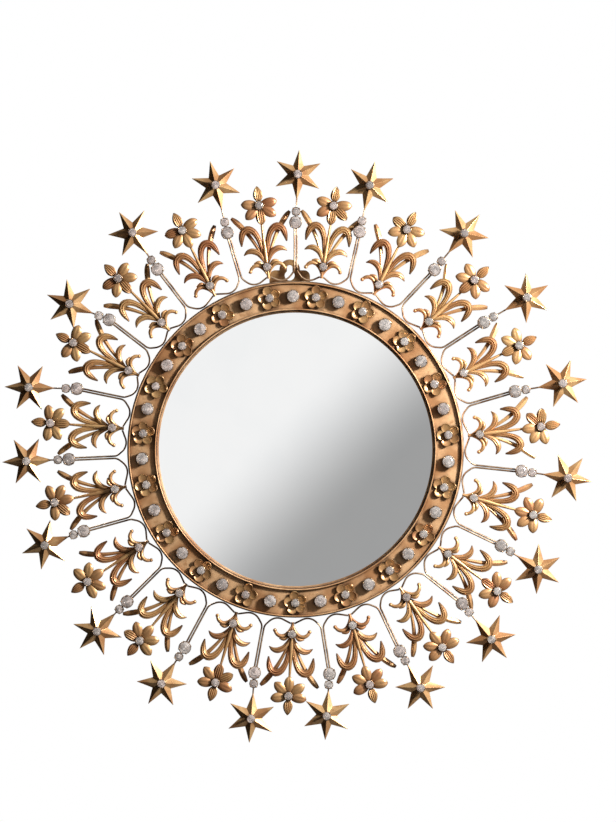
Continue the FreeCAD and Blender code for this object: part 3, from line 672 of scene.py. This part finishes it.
def sprigsPiece():
    bm = newLeafMesh()
    tints = bm.verts.layers.float["tint"]
    for index in range(rayCount):
        base = onSpray(index) @ shifted(0, 0, sprigSeat)
        tint = hand.uniform(*sprigShape["tints"])
        bentSheet(bm, sprigShape["stem"], rounded, base, tint, along=8)
        for name in ("outerCurl", "innerCurl"):
            for stations in (sprigShape[name], mirrored(sprigShape[name])):
                bentSheet(bm, stations, rounded, base, tint, across=6, along=14)
        for side in (-1, 1):
            x, y, height, _ = sprigShape["outerCurl"][-1]
            tip = base @ shifted(side * x, y, height + leafShape["sheet"])
            ball = bmesh.ops.create_icosphere(bm, subdivisions=2, radius=sprigShape["ball"], matrix=tip)
            for v in ball["verts"]:
                v[tints] = tint
    return finishPiece("footSprigs", bm, [gilt["leaf"]], ["foot_sprigs"])


# six-rayed flower at the tip of each spray: five petals and a fluted bud leaf
flowerShape = {
    "along": 72.0,
    "petals": ((180.0, 19.6), (128.0, 19.4), (78.0, 18.4), (-78.0, 18.4), (-128.0, 19.4)),  # turn, length
    "width": 10.4,
    "outline": (  # share of the length, share of the width, lift
        (0.14, 0.60, 0.0), (0.30, 0.88, 0.4), (0.52, 1.0, 1.0),
        (0.76, 0.88, 1.3), (0.92, 0.50, 1.0), (1.0, 0.08, 0.6),
    ),
    "disc": {"radius": 5.4, "height": 0.9, "lift": 0.4, "rings": 10},
    "bud": (
        (0.0, 4.5, 0.0, 4.0), (0.0, 6.4, 0.3, 7.4), (0.0, 9.6, 0.7, 9.6),
        (0.0, 13.2, 0.9, 8.8), (0.0, 16.8, 0.7, 5.4), (0.0, 19.5, 0.3, 1.0),
    ),
    "thick": 1.0,
    "turnSpread": 3.0,
    "flutedShare": 0.2,  # share of the petals that are fluted as the bud leaves are
    "moods": (0.1, 0.8),
    "tintSpread": 0.35,
    "budTints": (0.0, 0.6),
}
onFlower = sprigSeat + flowerShape["thick"] + mirror["touch"]


def addDisc(bm, base, disc, tint):
    size = Matrix.Diagonal((disc["radius"], disc["radius"], disc["height"], 1))
    place = base @ shifted(0, 0, disc["lift"]) @ size
    made = bmesh.ops.create_uvsphere(bm, u_segments=20, v_segments=disc["rings"], radius=1, matrix=place)
    tints = bm.verts.layers.float["tint"]
    for v in made["verts"]:
        v[tints] = tint


def flowersPiece():
    bm = newLeafMesh()
    for index in range(rayCount):
        base = onSpray(index) @ shifted(0, flowerShape["along"], sprigSeat)
        mood = hand.uniform(*flowerShape["moods"])
        for turn, length in flowerShape["petals"]:
            stations = []
            for far, wide, lift in flowerShape["outline"]:
                stations.append((0, far * length, lift, wide * flowerShape["width"]))
            relief = fluted if hand.random() < flowerShape["flutedShare"] else lobed
            tint = tintNear(mood, flowerShape["tintSpread"])
            uneven = hand.uniform(-1, 1) * flowerShape["turnSpread"]
            bentSheet(bm, stations, relief, base @ turned(turn + uneven), tint, across=10, along=12)
        addDisc(bm, base, flowerShape["disc"], mood)
    return finishPiece("sprayFlowers", bm, [gilt["leaf"]], ["spray_flowers"])


def budsPiece():
    bm = newLeafMesh()
    for index in range(rayCount):
        base = onSpray(index) @ shifted(0, flowerShape["along"], onFlower)
        tint = hand.uniform(*flowerShape["budTints"])
        bentSheet(bm, flowerShape["bud"], fluted, base, tint, across=20, along=14)
    return finishPiece("budLeaves", bm, [gilt["leaf"]], ["bud_leaves"])


# five round petals turned up round each small stone on the ring
ringFlowerShape = {
    "petals": 5, "radius": 4.5, "root": 3.4, "tilt": 20.0, "turn": 31.0, "outlineSteps": 12,
    "seat": 0.8,  # height of the hub, which the stone's setting stands on
    "sheet": 0.7, "lift": 0.72, "cup": 0.8,
    "hub": {"radius": 4.4, "height": 0.5, "lift": 0.4, "rings": 8},
    # levels of painted shade in each petal's bowl, at its root and round its rim
    "bowlShade": 0.3, "rootShade": 0.35, "rootReach": 0.35, "rimShade": 0.5, "rimFrom": 0.9,
    "moods": (0.0, 0.5), "tintSpread": 0.4,
}


def petalOutline():
    radius, steps = ringFlowerShape["radius"], ringFlowerShape["outlineSteps"]
    outline = []
    for i in range(steps + 1):
        turn = math.pi * i / steps
        outline.append((0, radius - radius * math.cos(turn), 0, 2 * radius * math.sin(turn)))
    return outline


def cupped(s, t, width):
    shape = ringFlowerShape
    along = -math.cos(math.pi * t)
    out = min(math.hypot(s * width / 2 / shape["radius"], along), 1.0)
    rise = shape["lift"] + shape["cup"] * out**3 - shape["cup"] * 0.5
    # painted shade in the bowl, at the root and round the rim
    bowl = shape["bowlShade"] * (1 - out**4)
    root = shape["rootShade"] * max(shape["rootReach"] - t, 0) / shape["rootReach"]
    rim = shape["rimShade"] * max(out - shape["rimFrom"], 0) / (1 - shape["rimFrom"])
    return rise, bowl + root + rim


def ringFlowersPiece():
    bm = newLeafMesh()
    tilt = Matrix.Rotation(math.radians(ringFlowerShape["tilt"]), 4, "X")
    rootedTilt = shifted(0, ringFlowerShape["root"], 0) @ tilt
    for index, angle in enumerate(sprayAngles):
        base = shifted(*ornamentPlace(angle)) @ turned(index * ringFlowerShape["turn"])
        mood = hand.uniform(*ringFlowerShape["moods"])
        for k in range(ringFlowerShape["petals"]):
            place = base @ turned(k * fullTurn / ringFlowerShape["petals"]) @ rootedTilt
            tint = tintNear(mood, ringFlowerShape["tintSpread"])
            bentSheet(bm, petalOutline(), cupped, place, tint, ringFlowerShape["sheet"], across=8, along=12)
        addDisc(bm, base, ringFlowerShape["hub"], mood)
    return finishPiece("ringFlowers", bm, [gilt["leaf"]], ["ring_flowers"])


# faceted stars of sheet metal
starShape = {
    "points": 6, "radius": 25.5, "valley": 10.6, "peak": 7.0, "rim": 0.8, "sheet": 0.6, "flat": 6.2,
    "ridge": 0.22, "sharpAngle": 18.0,
}


def starPiece(index):
    bm = bmesh.new()
    sides = 2 * starShape["points"]
    fan = bmesh.ops.create_circle(
        bm, cap_ends=True, cap_tris=True, segments=sides, radius=starShape["radius"],
    )["verts"]
    middle = next(v for v in fan if v.co.length < weld)
    rim = [v for v in fan if v != middle]
    for v in rim:
        turn = math.degrees(math.atan2(v.co.x, v.co.y))
        k = round(turn / (fullTurn / sides))
        radius = starShape["valley"] if k % 2 else starShape["radius"]
        v.co = polar(radius, k * fullTurn / sides, starShape["rim"])
    middle.co.z = starShape["peak"]
    creases = list(middle.link_edges)
    bmesh.ops.bevel(
        bm, geom=creases, offset=starShape["ridge"], offset_type="OFFSET", segments=2, profile=0.5,
        affect="EDGES", clamp_overlap=True, material=-1,
    )
    geom = bm.verts[:] + bm.edges[:] + bm.faces[:]
    bmesh.ops.bisect_plane(
        bm, geom=geom, dist=0.0001, plane_co=(0, 0, starShape["flat"]), plane_no=(0, 0, 1), clear_outer=True,
    )
    atFlat = starShape["flat"] - weld
    border = [e for e in bm.edges if e.is_boundary and min(v.co.z for v in e.verts) > atFlat]
    bmesh.ops.edgeloop_fill(bm, edges=border)
    bmesh.ops.recalc_face_normals(bm, faces=bm.faces)
    if sum(face.normal.z for face in bm.faces) < 0:
        bmesh.ops.reverse_faces(bm, faces=bm.faces)
    outline = [e for e in bm.edges if e.is_boundary]
    for v in vertsIn(bmesh.ops.extrude_edge_only(bm, edges=outline)["geom"]):
        v.co.z = 0.0
    bmesh.ops.recalc_face_normals(bm, faces=bm.faces)
    bmesh.ops.solidify(bm, geom=bm.faces[:], thickness=starShape["sheet"])
    seat = starMiddle(index) + Vector((0, 0, mirror["wire"] + mirror["solder"]))
    bmesh.ops.transform(bm, matrix=shifted(*seat) @ turned(tangTurn(index)), verts=bm.verts)
    label = f"{index + 1:02d}"
    materials, nodes = [gilt["star"]], ["star_" + label]
    return finishPiece("star" + label, bm, materials, nodes, starShape["sharpAngle"], mend=False)


# cut stones in claw settings: sizes are radii, and most of a stone's values are shares of its size
stoneShape = {
    "large": 5.9, "small": 4.0, "facets": 8, "table": 0.58, "crown": 0.36, "girdle": 0.10, "pavilion": 0.80,
    "belt": 0.86, "beltRise": 0.2, "lowBelt": 0.5, "lowDrop": 0.46, "sharpAngle": 1.0,
}
settingShape = {
    "wall": 0.45, "floor": 0.5, "foot": 0.55, "play": 0.08, "steps": 20, "sharpAngle": 50.0,
    "shoulder": (0.1, 0.3), "edge": 0.15,
    "claws": 4, "claw": 0.5, "clawTaper": 0.8, "bead": 0.66, "beadPlay": 0.02,
    "hold": 0.25,  # share of the crown's slope that the claws reach over
    "stud": 1.0,
    "tail": 1.6,  # reach of the stud behind the ring's face
}


def girdleLow(size):
    return settingShape["floor"] + settingShape["play"] + stoneShape["pavilion"] * size


def cupRadius(size):
    return size + settingShape["play"] + settingShape["wall"]


def cutStone(size):
    bm = bmesh.new()
    low = girdleLow(size)
    high = low + stoneShape["girdle"] * size
    facets = stoneShape["facets"]
    rings = (
        (stoneShape["table"], high + stoneShape["crown"] * size, facets, 0.5),
        (stoneShape["belt"], high + stoneShape["beltRise"] * size, facets, 0.0),
        (1.0, high, 2 * facets, 0.0),
        (1.0, low, 2 * facets, 0.0),
        (stoneShape["lowBelt"], low - stoneShape["pavilion"] * stoneShape["lowDrop"] * size, facets, 0.5),
    )
    for share, height, count, offset in rings:
        for k in range(count):
            bm.verts.new(polar(share * size, (k + offset) * fullTurn / count, height))
    bm.verts.new((0, 0, low - stoneShape["pavilion"] * size))
    bmesh.ops.convex_hull(bm, input=bm.verts)
    flatter = math.radians(stoneShape["sharpAngle"])
    bmesh.ops.dissolve_limit(bm, angle_limit=flatter, verts=bm.verts, edges=bm.edges)
    bmesh.ops.recalc_face_normals(bm, faces=bm.faces)
    for face in bm.faces:  # foil lies behind the girdle
        face.material_index = 1 if face.calc_center_median().z < low - weld else 0
    return bm


def clawSetting(size, studLength):
    low = girdleLow(size)
    high = low + stoneShape["girdle"] * size
    foot = low - stoneShape["pavilion"] * size / 2
    inner, outer = size + settingShape["play"], cupRadius(size)
    shoulderIn, shoulderUp = settingShape["shoulder"]
    edge = settingShape["edge"]
    bm = bmesh.new()
    profile = (
        (0, 0), (settingShape["foot"] * size, 0), (outer - shoulderIn, foot), (outer, foot + shoulderUp),
        (outer, high - edge), (outer - edge, high), (inner, high),
        (inner, settingShape["floor"] + stoneShape["pavilion"] * inner), (0, settingShape["floor"]),
    )
    spunProfile(bm, profile, settingShape["steps"])
    facet = Vector(((1 - stoneShape["table"]) * size, stoneShape["crown"] * size, 0))
    off = (settingShape["bead"] + settingShape["beadPlay"]) / facet.length
    beadRadius = size - settingShape["hold"] * facet.x + facet.y * off
    beadHeight = high + settingShape["hold"] * facet.y + facet.x * off
    thin, thick = settingShape["claw"] * settingShape["clawTaper"], settingShape["claw"]
    for k in range(settingShape["claws"]):
        turn = (k + 0.5) * fullTurn / settingShape["claws"]
        claw = polar(inner + thick, turn, (foot + beadHeight) / 2)
        bmesh.ops.create_cone(
            bm, cap_ends=True, segments=8, radius1=thin, radius2=thick, depth=beadHeight - foot,
            matrix=shifted(*claw),
        )
        bead = polar(beadRadius, turn, beadHeight)
        bmesh.ops.create_icosphere(bm, subdivisions=2, radius=settingShape["bead"], matrix=shifted(*bead))
    if studLength:
        bmesh.ops.create_cone(
            bm, cap_ends=True, segments=12, radius1=settingShape["stud"], radius2=settingShape["stud"],
            depth=studLength, matrix=shifted(0, 0, -studLength / 2),
        )
    bmesh.ops.remove_doubles(bm, verts=bm.verts, dist=weld)
    bmesh.ops.recalc_face_normals(bm, faces=bm.faces)
    return bm


def stonePlaces():
    places = []
    through = mirror["sheet"] + mirror["touch"] + settingShape["tail"]
    inFlower = ringFlowerShape["seat"] + mirror["touch"]
    for angle in rayAngles:
        places.append(("large", through, shifted(*ornamentPlace(angle)) @ turned(angle)))
    for angle in sprayAngles:
        seat = ornamentPlace(angle) + Vector((0, 0, inFlower))
        places.append(("small", through + inFlower, shifted(*seat) @ turned(angle)))
    step = cupRadius(stoneShape["large"]) + cupRadius(stoneShape["small"]) + mirror["touch"]
    onWire = Vector((0, 0, mirror["wire"] + mirror["solder"]))
    onStar = onWire + Vector((0, 0, starShape["flat"] + mirror["touch"]))
    onSprig = shifted(0, sprigShape["stoneAlong"], sprigSeat + sprigShape["stoneLift"] + mirror["touch"])
    onBud = shifted(0, flowerShape["along"], onFlower)
    for i in range(rayCount):
        turn = tangTurn(i)
        end = legsEnd(i) + onWire
        places.append(("large", 0, shifted(*end) @ turned(turn)))
        places.append(("small", 0, shifted(*(end + polar(step, turn))) @ turned(turn)))
        places.append(("small", 0, shifted(*(starMiddle(i) + onStar)) @ turned(turn)))
        places.append(("small", 0, onSpray(i) @ onSprig))
        places.append(("small", 0, onSpray(i) @ onBud))
    return places


def stonesAndSettings():
    stones = {size: bmesh.new() for size in ("large", "small")}
    settings = bmesh.new()
    groups = {}
    for size, studLength, place in stonePlaces():
        groups.setdefault((size, studLength), []).append(place)
    for (size, studLength), places in groups.items():
        addCopies(stones[size], cutStone(stoneShape[size]), places)
        addCopies(settings, clawSetting(stoneShape[size], studLength), places)
    for size, bm in stones.items():
        materials, angle = [crownGlass, foil], stoneShape["sharpAngle"]
        finishPiece(size + "Stones", bm, materials, ["cut_stones"], angle, mend=False)
    materials, angle = [gilt["claw"]], settingShape["sharpAngle"]
    finishPiece("clawSettings", settings, materials, ["claw_settings"], angle, mend=False)


ringPiece()
glassPiece()
hoopPiece()
print("ring, glass and hoop made")
for i in range(rayCount):
    sprayPiece(i)
    starPiece(i)
sprigsPiece()
flowersPiece()
budsPiece()
ringFlowersPiece()
print("sprays, flowers and stars made")
stonesAndSettings()
print("stones and settings made")


# pieces that keep their shape and get their finish here
def dressNodes(material, *nodes):
    for name in nodes:
        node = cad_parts[name]
        node.data.materials.clear()
        node.data.materials.append(material)


turnButtons = [f"turn_button_{i}" for i in range(1, 5)]
dressNodes(gilt["wire"], "ray_wires", "star_tangs")
dressNodes(gilt["ring"], "ring_wall")
dressNodes(gilt["brass"], "hanger_plate", "hanger_rivets", "fixing_lugs", *turnButtons)
dressNodes(steelMaterial(), "button_screws")
dressNodes(boardMaterial(), "backing_board")
dressNodes(packingMaterial(), "packing_ring")
print("carried pieces finished")

# floor, light and camera
studio = {
    "floorDrop": 2.2, "floorHalf": 1.2, "floorGlow": 0.45,
    "floorColour": (0.86, 0.86, 0.85, 1), "floorCloud": (0.84, 0.84, 0.83, 1), "floorClouds": 6.0,
    "keyPlace": (0.85, -0.62, 0.42), "keySize": 0.20, "keyPower": 31.0,
    "rearPlace": (-0.70, 0.90, 0.60), "rearSize": 0.7, "rearPower": 16.0,
}
sky = {
    "mattFill": 0.15,  # share of the surroundings that lights matt surfaces
    "rearLevel": 0.12,
    # each band: the direction it is measured towards, its edges there, and its levels at the edges
    "glass": ((1.0, 0.0, -1.0), (-0.15, 0.35), (0.93, 0.36)),  # what the mirror and the stones show
    "gilding": ((0.80, -0.30, 0.50), (0.05, 0.95), (0.01, 0.85)),
    "backdrop": ((0.0, 1.0, 0.0), (0.86, 0.98), (0.0, 1.0)),  # white straight behind the mirror
    "rear": ((0.0, 1.0, 0.0), (0.1, 0.6), (0.0, 1.0)),
}
camera = {
    "distance": 2.6, "sensor": 36.0,
    "frameWidth": 616.0, "frameHeight": 822.0, "middle": (295.5, 449.5),  # pixels, 1 mm each at the ring
}


def makeFloor():
    bm = bmesh.new()
    low = cadBounds[0].z - studio["floorDrop"]
    bmesh.ops.create_grid(bm, x_segments=4, y_segments=4, size=studio["floorHalf"], matrix=shifted(0, 0, low))
    mesh = bpy.data.meshes.new("floor")
    bm.to_mesh(mesh)
    bm.free()
    floor = bpy.data.objects.new("floor", mesh)
    bpy.context.scene.collection.objects.link(floor)
    material, tree, shader = startMaterial("pale-floor", Roughness=0.7, Emission_Color=(1, 1, 1, 1))
    cloud = noise(tree, objectPlace(tree), studio["floorClouds"])
    tone = mixColours(tree, cloud, studio["floorColour"], studio["floorCloud"])
    tree.links.new(tone, shader.inputs["Base Color"])
    path = addNode(tree, "LightPath").outputs
    seen = combine(tree, "MAXIMUM", path["Is Camera Ray"], path["Is Singular Ray"])
    glow = combine(tree, "MULTIPLY", seen, studio["floorGlow"])
    tree.links.new(glow, shader.inputs["Emission Strength"])
    mesh.materials.append(material)


def makeLamp(name, place, size, power):
    light = bpy.data.lights.new(name, "AREA")
    light.shape = "DISK"
    light.size = size
    light.energy = power
    lamp = bpy.data.objects.new(name, light)
    lamp.location = place
    lamp.rotation_euler = (-Vector(place)).to_track_quat("-Z", "Y").to_euler()
    bpy.context.scene.collection.objects.link(lamp)


def makeSky():
    world = bpy.data.worlds.new("studio")
    world.use_nodes = True
    bpy.context.scene.world = world
    tree = world.node_tree
    direction = addNode(tree, "TexCoord").outputs["Generated"]

    def band(name):
        towards, edges, levels = sky[name]
        sockets = {0: direction, 1: Vector(towards).normalized()}
        along = addNode(tree, "VectorMath", sockets, operation="DOT_PRODUCT").outputs["Value"]
        return remap(tree, along, edges, levels)

    path = addNode(tree, "LightPath").outputs
    reflected = combine(tree, "MAXIMUM", path["Is Glossy Ray"], path["Is Transmission Ray"])
    whiteBehind = combine(tree, "MULTIPLY", reflected, band("backdrop"))
    white = combine(tree, "MAXIMUM", path["Is Camera Ray"], whiteBehind)
    room = mixLevels(tree, path["Is Singular Ray"], band("gilding"), band("glass"))
    room = combine(tree, "MULTIPLY", room, mixLevels(tree, path["Is Diffuse Ray"], 1.0, sky["mattFill"]))
    room = mixLevels(tree, band("rear"), room, sky["rearLevel"])
    backdrop = tree.nodes["Background"]
    backdrop.inputs["Color"].default_value = (1, 1, 1, 1)
    tree.links.new(mixLevels(tree, white, room, 1.0), backdrop.inputs["Strength"])


def makeCamera():
    ringPlane = -faceHeight * mm
    lens = bpy.data.cameras.new("camera")
    lens.sensor_fit = "VERTICAL"
    lens.sensor_height = camera["sensor"]
    lens.lens = camera["sensor"] * (camera["distance"] + ringPlane) / (camera["frameHeight"] * mm)
    eye = bpy.data.objects.new("camera", lens)
    x = (camera["frameWidth"] / 2 - camera["middle"][0]) * mm
    z = (camera["middle"][1] - camera["frameHeight"] / 2) * mm
    eye.location = (x, -camera["distance"], z)
    eye.rotation_euler = (math.radians(90), 0, 0)
    bpy.context.scene.collection.objects.link(eye)
    bpy.context.scene.camera = eye


makeFloor()
makeLamp("keyLamp", studio["keyPlace"], studio["keySize"], studio["keyPower"])
makeLamp("rearLamp", studio["rearPlace"], studio["rearSize"], studio["rearPower"])
makeSky()
makeCamera()
bpy.context.scene.view_settings.view_transform = "Standard"
print("studio made")
